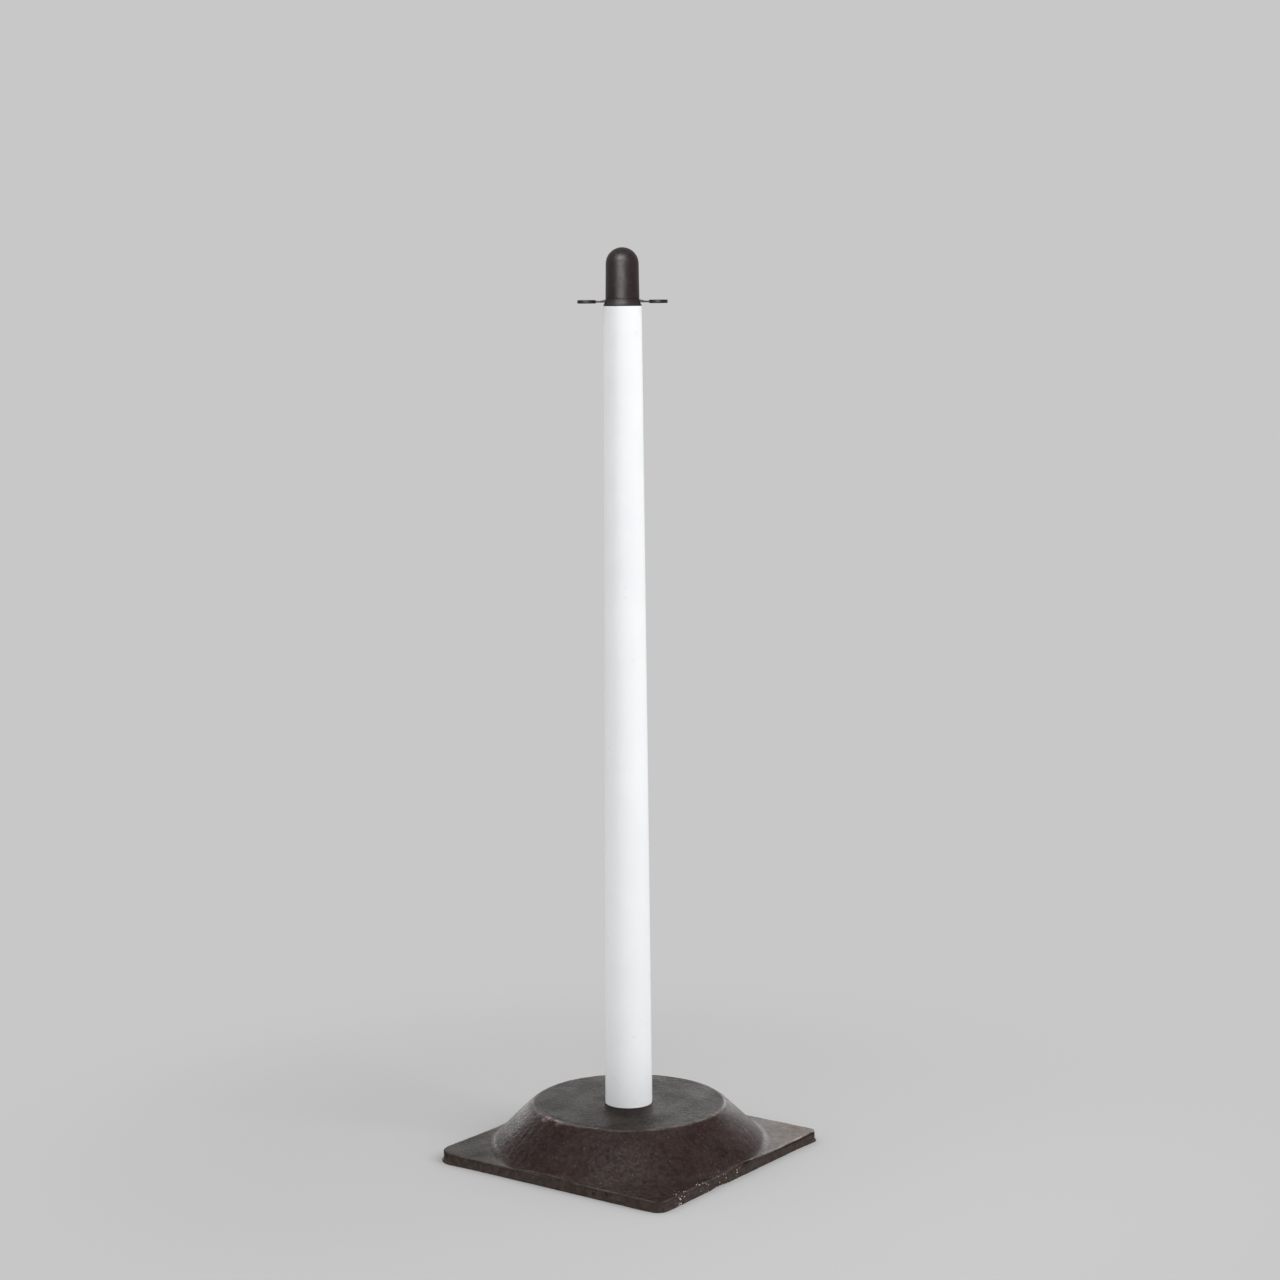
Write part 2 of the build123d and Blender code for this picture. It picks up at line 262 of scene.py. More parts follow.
# Unevenness of the moulding: size and depth of its waves and lumps
WAVES_FROM_Z = 2 * MM
WAVE_SIZE = 38 * MM
WAVE_DEPTH = 0.28 * MM
LUMP_SIZE = 6 * MM
LUMP_DEPTH = 0.10 * MM
SIDE_WAVE_SIZE = 21 * MM
SIDE_WAVE_DEPTH = 0.40 * MM
SIDE_LUMP_SIZE = 4 * MM
SIDE_LUMP_DEPTH = 0.18 * MM


def hill(value, middle, half_width):
    """1 at the middle, falling smoothly to nearly 0 about two half widths away."""
    return exp(-((value - middle) / half_width) ** 2)


def flash_amount(place):
    """How much of the film pressed out of the mould is left at a place on the rim."""
    left_corner = hill(place.x + place.y, -2 * PLATE_HALF, LEFT_FLASH_SPREAD)
    right_corner = hill(place.x + place.y, 2 * PLATE_HALF, RIGHT_FLASH_SPREAD)
    stray = max(noise.noise(place / STRAY_FLASH_SIZE) - STRAY_FLASH_FROM, 0)
    return max(left_corner, RIGHT_FLASH * right_corner, STRAY_FLASH * stray)


def chip_depth(place):
    """How deep the chipped side is broken away at a place on it."""
    deepest = 0
    for along, level, half_length, half_height, depth in CHIPS:
        near = hill(place.y, along * MM, half_length * MM)
        near *= hill(place.z, level * MM, half_height * MM)
        deepest = max(deepest, near * depth * MM)
    ragged = RAGGED_SHARE * (1 + noise.noise(place / RAGGED_SIZE))
    return deepest * max(ragged, 0)


def on_plate_side(place, reach):
    """Whether a place lies on the plate's sides or round its corners."""
    on_side = max(abs(place.x), abs(place.y)) > PLATE_HALF - SIDE_DEPTH
    return on_side or (reach > FOOT_END_R and place.z < SIDE_TOP)


normals = [vertex.normal.copy() for vertex in base.data.vertices]
for vertex, normal in zip(base.data.vertices, normals):
    place = vertex.co.copy()
    reach = hypot(place.x, place.y)
    if reach < SOCKET_SURROUND_R:
        continue
    outward = Vector((normal.x, normal.y, 0))
    if place.z > WAVES_FROM_Z:
        wave = WAVE_DEPTH * noise.noise(place / WAVE_SIZE)
        lump = LUMP_DEPTH * noise.noise(place / LUMP_SIZE)
        vertex.co += normal * (wave + lump)
    if on_plate_side(place, reach):
        level_place = Vector((place.x, place.y, 0))
        if outward.length < 0.5:
            outward = level_place
        outward.normalize()
        shift = SIDE_WAVE_DEPTH * noise.noise(level_place / SIDE_WAVE_SIZE)
        shift += SIDE_LUMP_DEPTH * noise.noise(place / SIDE_LUMP_SIZE)
        low_down = min(max((FLASH_TOP - place.z) / FLASH_FADE, 0), 1)
        shift += FLASH_REACH * flash_amount(level_place) * sqrt(low_down)
        if place.x > CHIPPED_SIDE_X:
            shift -= chip_depth(place)
        vertex.co += outward * shift
BASE_CREASE = radians(38)
select_only(base)
bpy.ops.object.shade_smooth_by_angle(angle=BASE_CREASE)


def colour(red, green, blue):
    """A linear colour from values of 0 to 255, as a paint chart gives them."""
    linear = []
    for level in (red / 255, green / 255, blue / 255):
        linear.append(level / 12.92 if level < 0.04 else ((level + 0.055) / 1.055) ** 2.4)
    return (*linear, 1)


def add_node(tree, kind, inputs=None, **options):
    """Add a shader node, set its options, and give each input a value or a link."""
    node = tree.nodes.new("ShaderNode" + kind)
    for option, value in options.items():
        setattr(node, option, value)
    for socket, value in (inputs or {}).items():
        if isinstance(value, bpy.types.NodeSocket):
            tree.links.new(value, node.inputs[socket])
        else:
            node.inputs[socket].default_value = value
    return node


def maths(tree, operation, *values):
    """The result of a Math node."""
    return add_node(tree, "Math", dict(enumerate(values)), operation=operation).outputs[0]


def vectors(tree, operation, first, second=(0, 0, 0)):
    """The vector that a Vector Math node gives."""
    return add_node(tree, "VectorMath", {0: first, 1: second}, operation=operation).outputs[0]


def scaled(tree, vector, scale):
    """A vector times a number."""
    inputs = {"Vector": vector, "Scale": scale}
    return add_node(tree, "VectorMath", inputs, operation="SCALE").outputs[0]


def measured(tree, operation, first, second=(0, 0, 0)):
    """The number that a Vector Math node gives."""
    node = add_node(tree, "VectorMath", {0: first, 1: second}, operation=operation)
    return node.outputs["Value"]


def between(tree, value, low, high):
    """0 up to low and 1 from high, rising smoothly; it falls if low is above high."""
    inputs = {"Value": value, "From Min": low, "From Max": high}
    return add_node(tree, "MapRange", inputs, interpolation_type="SMOOTHSTEP").outputs[0]


def blended(tree, share, first, second):
    """The first colour, with a share of the second mixed in."""
    inputs = {0: share, 6: first, 7: second}
    return add_node(tree, "Mix", inputs, data_type="RGBA").outputs[2]


def band(tree, value, start, full, fade, end):
    """1 in a band of values, rising from start to full and falling from fade to end."""
    rising = between(tree, value, start, full)
    return maths(tree, "MULTIPLY", rising, between(tree, value, end, fade))


def tinted(tree, tone, *layers):
    """A colour under tints, each given as a mask, its share where the mask is 1, and a colour."""
    for mask, share, tint in layers:
        tone = blended(tree, maths(tree, "MULTIPLY", mask, share), tone, colour(*tint))
    return tone


def summed(tree, total, *terms):
    """A value to which each term, given as a mask and a weight, is added."""
    for mask, weight in terms:
        total = maths(tree, "MULTIPLY_ADD", mask, weight, total)
    return total


def effect_group(name, inputs, outputs):
    """A new node group with named sockets, and its input and output nodes."""
    group = bpy.data.node_groups.new(name, "ShaderNodeTree")
    for socket, kind in inputs.items():
        group.interface.new_socket(socket, in_out="INPUT", socket_type="NodeSocket" + kind)
    for socket in outputs:
        group.interface.new_socket(socket, in_out="OUTPUT", socket_type="NodeSocketFloat")
    given = group.nodes.new("NodeGroupInput").outputs
    result = group.nodes.new("NodeGroupOutput").inputs
    return group, given, result


def scaled_place(tree, place, size):
    """A place measured in pattern sizes."""
    return scaled(tree, place, maths(tree, "DIVIDE", 1.0, size))


def moulding_grain_group():
    """Broad blotches and fine grain, each at its own size."""
    sockets = {"Place": "Vector", "Blotch Size": "Float", "Grain Size": "Float"}
    group, given, result = effect_group("moulding_grain", sockets, ("Blotches", "Grain"))
    for output, size, detail in (("Blotches", "Blotch Size", 5), ("Grain", "Grain Size", 3)):
        place = scaled_place(group, given["Place"], given[size])
        pattern = add_node(group, "TexNoise", {"Vector": place, "Scale": 1, "Detail": detail})
        group.links.new(between(group, pattern.outputs[0], 0.3, 0.7), result[output])
    return group


def scattered_specks_group():
    """Round specks in a share of the cells of a loose packing, each with its own shade."""
    sockets = {"Place": "Vector", "Size": "Float", "Share": "Float"}
    group, given, result = effect_group("scattered_specks", sockets, ("Specks", "Shade", "Cells"))
    place = scaled_place(group, given["Place"], given["Size"])
    cells = add_node(group, "TexVoronoi", {"Vector": place, "Scale": 1})
    drawn = add_node(group, "SeparateColor", {0: cells.outputs["Color"]}).outputs
    round_spot = between(group, cells.outputs["Distance"], 0.42, 0.26)
    chosen = maths(group, "LESS_THAN", drawn[0], given["Share"])
    group.links.new(maths(group, "MULTIPLY", round_spot, chosen), result["Specks"])
    group.links.new(drawn[1], result["Shade"])
    group.links.new(drawn[2], result["Cells"])
    return group


def worn_and_highlit_edge_group():
    """Patchy wear within a width of an edge, from the distance to that edge; it also places
    painted highlights.
    """
    sockets = {"Place": "Vector", "Distance": "Float", "Width": "Float",
               "Patch Size": "Float", "Share": "Float"}
    group, given, result = effect_group("worn_and_highlit_edge", sockets, ("Wear",))
    place = scaled_place(group, given["Place"], given["Patch Size"])
    inputs = {"Vector": place, "Scale": 1, "Detail": 6, "Roughness": 0.65}
    pattern = add_node(group, "TexNoise", inputs)
    start = maths(group, "SUBTRACT", 0.72, maths(group, "MULTIPLY", given["Share"], 0.42))
    patches = between(group, pattern.outputs[0], start, maths(group, "ADD", start, 0.24))
    near = between(group, maths(group, "DIVIDE", given["Distance"], given["Width"]), 1.0, 0.35)
    group.links.new(maths(group, "MULTIPLY", patches, near), result["Wear"])
    return group


def settled_dust_group():
    """Fine dust that lies on what faces upwards."""
    sockets = {"Place": "Vector", "Patch Size": "Float"}
    group, given, result = effect_group("settled_dust", sockets, ("Dust",))
    normal = add_node(group, "NewGeometry").outputs["Normal"]
    upward = add_node(group, "SeparateXYZ", {0: normal}).outputs[2]
    upward = between(group, upward, 0.55, 1.0)
    place = scaled_place(group, given["Place"], given["Patch Size"])
    pattern = add_node(group, "TexNoise", {"Vector": place, "Scale": 1, "Detail": 6})
    patches = between(group, pattern.outputs[0], 0.35, 0.7)
    group.links.new(maths(group, "MULTIPLY", upward, patches), result["Dust"])
    return group


moulding_grain = moulding_grain_group()
scattered_specks = scattered_specks_group()
worn_and_highlit_edge = worn_and_highlit_edge_group()
settled_dust = settled_dust_group()


def new_material(name):
    """A material with nodes: its tree, its shader and its object coordinates."""
    material = bpy.data.materials.new(name)
    material.use_nodes = True
    tree = material.node_tree
    place = add_node(tree, "TexCoord").outputs["Object"]
    return material, tree, tree.nodes["Principled BSDF"], place


def effect(tree, group, inputs):
    """Place a shared effect in a material and return its outputs."""
    return add_node(tree, "Group", inputs, node_tree=group).outputs


def grained(tree, place, blotch_size, grain_size):
    """The shared blotches and grain, at the sizes given."""
    inputs = {"Place": place, "Blotch Size": blotch_size, "Grain Size": grain_size}
    return effect(tree, moulding_grain, inputs)


def specked(tree, place, size, share):
    """The shared specks, at a size and in a share of their cells."""
    return effect(tree, scattered_specks, {"Place": place, "Size": size, "Share": share})


def edge_wear_and_highlight(tree, place, distance, width, patch_size, share):
    """The shared wear, within a width of an edge and in patches of a size, also used for painted
    highlights.
    """
    inputs = {"Place": place, "Distance": distance, "Width": width,
              "Patch Size": patch_size, "Share": share}
    return effect(tree, worn_and_highlit_edge, inputs)["Wear"]


def dusted(tree, place, patch_size):
    """The shared dust, in patches of a size."""
    return effect(tree, settled_dust, {"Place": place, "Patch Size": patch_size})["Dust"]


def surfaced(tree, shader, tone, rough, height):
    """Feed a colour, a roughness and a height in metres to the shader."""
    tree.links.new(tone, shader.inputs["Base Color"])
    tree.links.new(rough, shader.inputs["Roughness"])
    bump = add_node(tree, "Bump", {"Height": height, "Distance": 1.0, "Strength": 1.0})
    tree.links.new(bump.outputs[0], shader.inputs["Normal"])


def near_point(tree, place, centre, far, close):
    """0 away from a point and 1 close to it."""
    return between(tree, measured(tree, "DISTANCE", place, centre), far, close)


def distance_from(tree, value, level):
    """How far a value lies from a level, on either side."""
    return maths(tree, "ABSOLUTE", maths(tree, "SUBTRACT", value, level))


GREY_PATCH = (80 * MM, -118 * MM, 20 * MM)
RUBBED_LIP = (-31.4 * MM, -93.4 * MM, DOME_TOP)
LIP_LINE_R = DISC_EDGE_R - 0.1 * MM
EDGE_LINE = PLATE_HALF - 0.8 * MM
# Under the plate's top, in mm: where the painted shadow line starts, is full, fades and ends
SHADOW_LINE_DROPS = (3.2, 2.2, 1.4, 0.8)
BARE_SIDE_X = PLATE_HALF - 0.5 * MM
# Where light granules lie bare on the chipped side: place along it, level and reach, in mm
BARE_PLACES = ((-104, 6, 13), (-72, 10, 9), (-63, 5, 7), (-37, 9, 9), (-30, 3, 6), (-8, 7, 6))
BARE_CORE = 0.4
# Scale of the flow streaks round the axis, in each radian, and outwards, in each metre
STREAKS_ROUND = 26
STREAKS_OUT = 60


def flow_streaks(tree, flat, reach):
    """Streaks that run outwards: the pattern is drawn out along the radius."""
    around = scaled(tree, vectors(tree, "NORMALIZE", flat), STREAKS_ROUND)
    out = maths(tree, "MULTIPLY", reach, STREAKS_OUT)
    along = add_node(tree, "CombineXYZ", {2: out}).outputs[0]
    place = vectors(tree, "ADD", around, along)
    inputs = {"Vector": place, "Scale": 1, "Detail": 6, "Roughness": 0.62}
    return between(tree, add_node(tree, "TexNoise", inputs).outputs[0], 0.42, 0.72)


def bare_granules(tree, place):
    """Where granules lie bare on the chipped side, and their light or rusty colour."""
    chipped = 0.0
    for along, level, size in BARE_PLACES:
        centre = (BARE_SIDE_X, along * MM, level * MM)
        cluster = near_point(tree, place, centre, size * MM, size * BARE_CORE * MM)
        chipped = maths(tree, "MAXIMUM", cluster, chipped)
    bare = specked(tree, place, 2.0 * MM, 0.38)
    rusty = maths(tree, "GREATER_THAN", bare["Shade"], 0.9)
    tone = blended(tree, rusty, colour(224, 214, 206), colour(190, 112, 60))
    return maths(tree, "MULTIPLY", chipped, bare["Specks"]), tone


def recycled_rubber():
    """Reddish black granulate, greasy where it slid in the mould, worn along the lip, with painted
    sheen, highlights and shade.
    """
    material, tree, shader, place = new_material("recycled_rubber_granulate")
    x, y, z = add_node(tree, "SeparateXYZ", {0: place}).outputs
    flat = vectors(tree, "MULTIPLY", place, (1, 1, 0))
    reach = measured(tree, "LENGTH", flat)
    side_reach = maths(tree, "MAXIMUM", maths(tree, "ABSOLUTE", x), maths(tree, "ABSOLUTE", y))

    grain = grained(tree, place, 34 * MM, 1.6 * MM)
    smears = grained(tree, place, 9 * MM, 3.0 * MM)
    granules = specked(tree, place, 4.2 * MM, 0.55)
    fine = specked(tree, place, 1.6 * MM, 0.018)
    pits = specked(tree, place, 7.5 * MM, 0.05)

    # Towards which corner a place lies: left and right by x plus y, the front by x minus y
    across = maths(tree, "ADD", x, y)
    deep = maths(tree, "SUBTRACT", x, y)
    to_left = between(tree, across, -160 * MM, -230 * MM)
    to_right = between(tree, across, 170 * MM, 230 * MM)
    to_front = between(tree, deep, 130 * MM, 220 * MM)
    far_out = maths(tree, "MAXIMUM", reach, MM)
    # How far to the side of the front corner's line a place lies: the flank there is painted with
    # sheen
    sheen_sideways = maths(tree, "DIVIDE", maths(tree, "ABSOLUTE", across), far_out)
    sheen_sideways = between(tree, sheen_sideways, 1.0, 1.41)

    # Which part of the moulding a place lies on
    high_up = between(tree, z, DOME_TOP - 2.5 * MM, DOME_TOP - 0.5 * MM)
    inside_lip = between(tree, reach, DISC_EDGE_R - 0.5 * MM, DISC_EDGE_R - 3.5 * MM)
    outside_lip = between(tree, reach, DISC_EDGE_R + 0.5 * MM, DISC_EDGE_R + 5.5 * MM)
    above_plate = between(tree, z, PLATE_TOP, PLATE_TOP + 4 * MM)
    on_disc = maths(tree, "MULTIPLY", high_up, inside_lip)
    on_flank = maths(tree, "MULTIPLY", outside_lip, above_plate)
    # The flank's sides, painted lighter as sheen
    sheen_flank = maths(tree, "MULTIPLY", on_flank, sheen_sideways)
    on_plate = band(tree, z, SIDE_FULL, SIDE_TOP, PLATE_TOP + MM, PLATE_TOP + 3.5 * MM)
    left_plate = maths(tree, "MULTIPLY", on_plate, to_left)
    # The plate's right corner, painted lighter as sheen
    sheen_right_plate = maths(tree, "MULTIPLY", on_plate, to_right)
    front_plate = maths(tree, "MULTIPLY", on_plate, to_front)
    on_side = between(tree, z, SIDE_TOP, SIDE_FULL)
    # Light streaks only on the flank's sides: painted sheen
    sheen_streaks = maths(tree, "MULTIPLY", flow_streaks(tree, flat, reach), sheen_flank)

    # Painted greyer in a patch low on the front, and in other tones along the plate. Painted
    # sheen: the flank's sides are lighter, with light streaks, and so is the plate's right corner
    patchy = maths(tree, "MULTIPLY_ADD", smears["Grain"], 0.7, 0.3)
    grey_patch = near_point(tree, place, GREY_PATCH, 58 * MM, 14 * MM)
    grey_patch = maths(tree, "MULTIPLY", grey_patch, patchy)
    tone = blended(tree, grain["Blotches"], colour(41, 27, 27), colour(49, 36, 35))
    tone = tinted(
        tree, tone,
        (grey_patch, 0.66, (67, 61, 57)),
        # painted sheen: light streaks and lighter sides on the flank
        (sheen_streaks, 0.3, (98, 94, 89)),
        (sheen_flank, 0.10, (80, 76, 71)),
        (on_disc, 0.8, (18, 12, 11)),
        (on_plate, 0.35, (46, 38, 34)),
        (left_plate, 0.8, (40, 38, 32)),
        # painted sheen on the plate's right corner
        (sheen_right_plate, 0.8, (86, 73, 67)),
        (on_side, 0.75, (70, 62, 58)),
        (smears["Grain"], 0.16, (84, 78, 72)),
    )
    shade = maths(tree, "MULTIPLY_ADD", granules["Shade"], 0.44, 0.76)
    tone = add_node(tree, "HueSaturation", {"Value": shade, "Color": tone}).outputs[0]
    # The pits are painted darker: painted shade in them
    tone = tinted(tree, tone, (pits["Specks"], 0.6, (24, 19, 19)))
    rusty = maths(tree, "GREATER_THAN", fine["Shade"], 0.85)
    speck_tone = blended(tree, rusty, colour(140, 133, 128), colour(150, 92, 55))
    tone = blended(tree, maths(tree, "MULTIPLY", fine["Specks"], 0.4), tone, speck_tone)
    bare, bare_tone = bare_granules(tree, place)
    tone = blended(tree, bare, tone, bare_tone)

    # Wear and painted light: a thin line along the disc's lip that is worn and a painted
    # highlight, broken worn patches on it, and the plate's upper edge, worn and a painted
    # highlight, most on the right, with a painted shadow line under it
    lip_distance = distance_from(tree, reach, LIP_LINE_R)
    # The thin line along the lip: wear and a painted highlight
    lip = edge_wear_and_highlight(tree, place, lip_distance, 1.1 * MM, 26 * MM, 0.80)
    lip_patch = edge_wear_and_highlight(tree, place, lip_distance, 5.2 * MM, 9 * MM, 0.70)
    rubbed = near_point(tree, place, RUBBED_LIP, 26 * MM, 12 * MM)
    lip_patch = maths(tree, "MULTIPLY", lip_patch, rubbed)
    edge_distance = distance_from(tree, side_reach, EDGE_LINE)
    # The plate's upper edge: wear and a painted highlight, most on the right
    edge = edge_wear_and_highlight(tree, place, edge_distance, 1.4 * MM, 22 * MM, 0.85)
    at_edge = between(tree, z, PLATE_TOP - 1.6 * MM, PLATE_TOP - 0.6 * MM)
    edge = maths(tree, "MULTIPLY", edge, at_edge)
    edge = maths(tree, "MULTIPLY", edge, maths(tree, "MULTIPLY_ADD", to_right, 0.55, 0.10))
    # A painted shadow line under the plate's upper edge, darker on the right
    shadow_line_levels = (PLATE_TOP - drop * MM for drop in SHADOW_LINE_DROPS)
    painted_shadow_under_edge = band(tree, z, *shadow_line_levels)
    rightward = maths(tree, "MULTIPLY_ADD", to_right, 0.6, 0.2)
    painted_shadow_under_edge = maths(tree, "MULTIPLY", painted_shadow_under_edge, rightward)
    # Less dust towards the front corner, which keeps it darker: painted shade
    dust_outside_front_shade = maths(tree, "MULTIPLY_ADD", to_front, -0.8, 1.0)
    dust = maths(tree, "MULTIPLY", dusted(tree, place, 50 * MM), dust_outside_front_shade)
    tone = tinted(
        tree, tone,
        # lip line and plate edge: wear and painted highlight; under the edge, painted shadow
        (lip, 0.34, (128, 112, 106)),
        (lip_patch, 0.85, (146, 127, 121)),
        (edge, 1.0, (176, 168, 160)),
        (painted_shadow_under_edge, 1.0, (18, 14, 13)),
        (dust, 0.08, (150, 147, 140)),
    )

    rough = summed(
        tree, 0.40,
        (grain["Blotches"], 0.10),
        (granules["Cells"], 0.06),
        (front_plate, 0.35),
        (left_plate, 0.20),
        (sheen_right_plate, 0.06),
        (on_disc, 0.18),
        (sheen_flank, -0.09),
    )
    height = summed(
        tree, 0.0,
        (grain["Grain"], 0.06 * MM),
        (granules["Specks"], 0.08 * MM),
        (sheen_streaks, 0.09 * MM),
        (smears["Grain"], 0.12 * MM),
        (pits["Specks"], -0.15 * MM),
    )
    surfaced(tree, shader, tone, rough, height)
    shader.inputs["Specular IOR Level"].default_value = 0.02
    return material


base.data.materials.append(recycled_rubber())
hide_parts("rubber_base")
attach(base, "post")

# Bolt set: M10 hexagon bolt, nut, split washer and wide washer, bright zinc plated. The
# bolt comes up from the recess under the base and pulls the tube's plug down.
BOLT_SET = ("anchor_bolt", "anchor_nut", "lock_washer", "penny_washer")


def zinc_plate():
    """Bright zinc, cloudy in its passivation and a little dull on the edges."""
    material, tree, shader, place = new_material("bright_zinc_plate")
    clouds = grained(tree, place, 6 * MM, 0.4 * MM)
    marks = specked(tree, place, 1.8 * MM, 0.12)
    tone = blended(tree, clouds["Blotches"], colour(196, 199, 203), colour(206, 203, 190))
    tone = tinted(tree, tone, (marks["Specks"], 0.4, (140, 138, 134)))
    rough = summed(tree, 0.26, (clouds["Blotches"], 0.16), (marks["Specks"], 0.2))
    height = summed(tree, 0.0, (clouds["Grain"], 0.008 * MM))
    surfaced(tree, shader, tone, rough, height)
    shader.inputs["Metallic"].default_value = 1.0
    return material


def refinish(node, material):
    """Give a CAD piece that keeps its shape its real finish."""
    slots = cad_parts[node].data.materials
    slots.clear()
    slots.append(material)


zinc = zinc_plate()
for node in BOLT_SET:
    refinish(node, zinc)

# Foot plug: black polypropylene, glued in the tube's lower end. It closes the tube and
# holds the nut in a hexagonal pocket.


def black_plastic(name, roughness):
    """Satin black moulded plastic with a fine spark-eroded grain and a few pale marks."""
    material, tree, shader, place = new_material(name)
    grain = grained(tree, place, 7 * MM, 0.45 * MM)
    marks = specked(tree, place, 2.2 * MM, 0.03)
    dust = dusted(tree, place, 12 * MM)
    tone = blended(tree, grain["Blotches"], colour(30, 15, 15), colour(37, 23, 22))
    tone = tinted(tree, tone, (marks["Specks"], 0.25, (96, 92, 88)), (dust, 0.01, (170, 168, 163)))
    rough = summed(tree, roughness, (grain["Blotches"], 0.10), (grain["Grain"], 0.05))
    height = summed(tree, 0.0, (grain["Grain"], 0.022 * MM), (grain["Blotches"], 0.08 * MM))
    surfaced(tree, shader, tone, rough, height)
    shader.inputs["Specular IOR Level"].default_value = 0.29
    return material


refinish("foot_plug", black_plastic("black_polypropylene", 0.42))

# Tube: white plastic in one piece, straight in the socket and tapering evenly to its
# mouth, with one even wall and rounded rims. The plug is glued in its lower end.
tube_low, tube_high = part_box("post_tube")
TUBE_FOOT_R = tube_high.x
TUBE_TOP_R = 19 * MM
TUBE_WALL = 2.5 * MM
TUBE_RIM_ROUND = 0.8 * MM
TUBE_ROWS = 24
TUBE_TURNS = 144
TUBE_CREASE = radians(40)
DUSTY_FOOT_H = 63 * MM


def softened(corners, steps=5):
    """An outline whose corners, given as (radius, height, rounding), are rounded off."""
    points = []
    for number, (radius, height, rounding) in enumerate(corners):
        corner = Vector((radius, height))
        if rounding == 0:
            points.append((radius, height))
            continue
        before = Vector(corners[number - 1][:2]) - corner
        after = Vector(corners[(number + 1) % len(corners)][:2]) - corner
        start = corner + before.normalized() * rounding
        end = corner + after.normalized() * rounding
        for step in range(steps + 1):
            share = step / steps
            point = start.lerp(corner, share).lerp(corner.lerp(end, share), share)
            points.append(tuple(point))
    return points


def tube_outline():
    """Round the wall's section: up the outside and down the bore."""
    outer = [(TUBE_FOOT_R, tube_low.z, TUBE_RIM_ROUND), (TUBE_FOOT_R, DOME_TOP, 0)]
    bore = []
    for row in range(1, TUBE_ROWS):
        share = row / TUBE_ROWS
        radius = TUBE_FOOT_R + (TUBE_TOP_R - TUBE_FOOT_R) * share
        height = DOME_TOP + (tube_high.z - DOME_TOP) * share
        outer.append((radius, height, 0))
        bore.insert(0, (radius - TUBE_WALL, height, 0))
    mouth = [(TUBE_TOP_R, tube_high.z, TUBE_RIM_ROUND),
             (TUBE_TOP_R - TUBE_WALL, tube_high.z, TUBE_RIM_ROUND / 2)]
    foot = [(TUBE_FOOT_R - TUBE_WALL, DOME_TOP, 0),
            (TUBE_FOOT_R - TUBE_WALL, tube_low.z, TUBE_RIM_ROUND / 2)]
    return softened(outer + mouth + bore + foot)


tube = turned("white_tapered_tube", tube_outline(), TUBE_TURNS, closed=True)
select_only(tube)
bpy.ops.object.shade_smooth_by_angle(angle=TUBE_CREASE)


def white_plastic():
    """Smooth satin white, very slightly cloudy, with a breath of dust near the foot."""
    material, tree, shader, place = new_material("satin_white_plastic")
    z = add_node(tree, "SeparateXYZ", {0: place}).outputs[2]
    grain = grained(tree, place, 45 * MM, 2.2 * MM)
    specks = specked(tree, place, 6 * MM, 0.02)["Specks"]
    near_foot = between(tree, z, DOME_TOP + DUSTY_FOOT_H, DOME_TOP)
    dusty = maths(tree, "MULTIPLY", near_foot, grain["Blotches"])
    tone = blended(tree, grain["Blotches"], colour(235, 237, 239), colour(239, 240, 241))
    tone = tinted(tree, tone, (specks, 0.06, (160, 158, 150)), (dusty, 0.02, (140, 134, 124)))
    rough = summed(tree, 0.42, (grain["Blotches"], 0.06), (specks, 0.1))
    height = summed(tree, 0.0, (grain["Grain"], 0.012 * MM), (grain["Blotches"], 0.06 * MM))
    surfaced(tree, shader, tone, rough, height)
    shader.inputs["Specular IOR Level"].default_value = 0.07
    return material


tube.data.materials.append(white_plastic())
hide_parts("post_tube")
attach(tube, "post")

# Head cap: hollow black bullet, moulded in one with a thinner spigot below. The fins on
# the spigot grip the tube's bore, and the cap pulls out by hand.
cap_low, cap_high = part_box("head_cap")
CAP_CROWN_R = 16.3 * MM
CAP_BASE_R = cap_high.x
CAP_WALL = 2.2 * MM
COLLAR_PLAY = 0.2 * MM
CAP_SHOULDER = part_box("eyelet_collar")[1].z + COLLAR_PLAY
CAP_EDGE_ROUND = 0.3 * MM
SPIGOT_R = 13.8 * MM
SPIGOT_END_ROUND = 0.6 * MM
SPIGOT_BORE_ROUND = 0.4 * MM
FIN_R = 16.4 * MM
FIN_T = 1.4 * MM
FIN_PITCH = 7 * MM
FIN_TOP = tube_high.z - 0.8 * MM
FIN_COUNT = 4
FIN_ROUND = 0.3 * MM
CROWN_STEPS = 22
CAP_TURNS = 112
CAP_CREASE = radians(42)


def crown(radius, top):
    """A quarter of a round crown, from the axis down to its widest point."""
    points = []
    for step in range(CROWN_STEPS + 1):
        turn = pi / 2 * step / CROWN_STEPS
        points.append((radius * sin(turn), top - radius + radius * cos(turn), 0))
    return points


